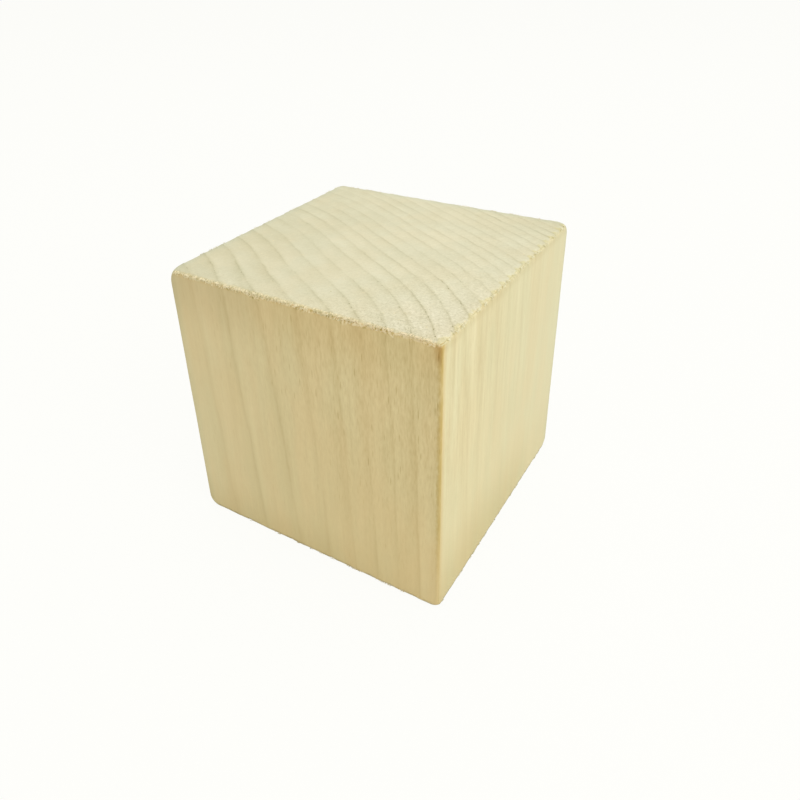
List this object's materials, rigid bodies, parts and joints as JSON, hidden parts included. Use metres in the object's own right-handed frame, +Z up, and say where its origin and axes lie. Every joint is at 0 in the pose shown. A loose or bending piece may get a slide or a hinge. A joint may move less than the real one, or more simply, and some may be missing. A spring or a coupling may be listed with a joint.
{
  "type": "wooden cube",
  "caption": "Solid wooden cube cut from square stock with the grain upright, with lightly sanded edges and worn corners.",
  "frame": {"origin": "middle of the underside, on the surface that the cube stands on", "axes": "+Z up, along the grain, so +Z and -Z are the end-grain faces; +X and +Y are square to the side-grain faces"},
  "size_m": [0.05, 0.05, 0.05],
  "materials": {
    "wood": "bare sanded pale hardwood, no coating"
  },
  "bodies": {
    "root": {"block": "wood"}
  },
  "joints": []
}
